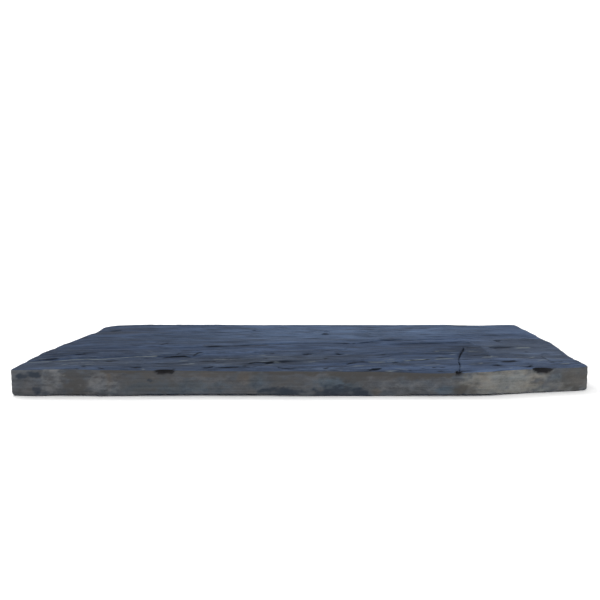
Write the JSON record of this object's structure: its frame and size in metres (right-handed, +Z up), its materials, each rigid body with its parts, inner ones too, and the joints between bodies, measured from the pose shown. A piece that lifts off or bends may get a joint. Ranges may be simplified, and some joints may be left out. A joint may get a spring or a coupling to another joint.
{
  "type": "slate slab",
  "caption": "Flat rectangular slab of riven slate with cut sides, ledges, scars and an open crack, for decorating a tank, a garden or a shelf.",
  "frame": {"origin": "centre of the slab's plan, on the flat underside that it rests on", "axes": "+X along the long side, to the right when seen from the front; +Y from the front side to the back; +Z up, out of the riven top"},
  "size_m": [0.6095, 0.3037, 0.0289],
  "materials": {
    "slate": "blue-grey riven slate, dull to faintly satin, with warmer brown-grey cut sides"
  },
  "bodies": {
    "root": {"slate_slab": "slate"}
  },
  "joints": []
}
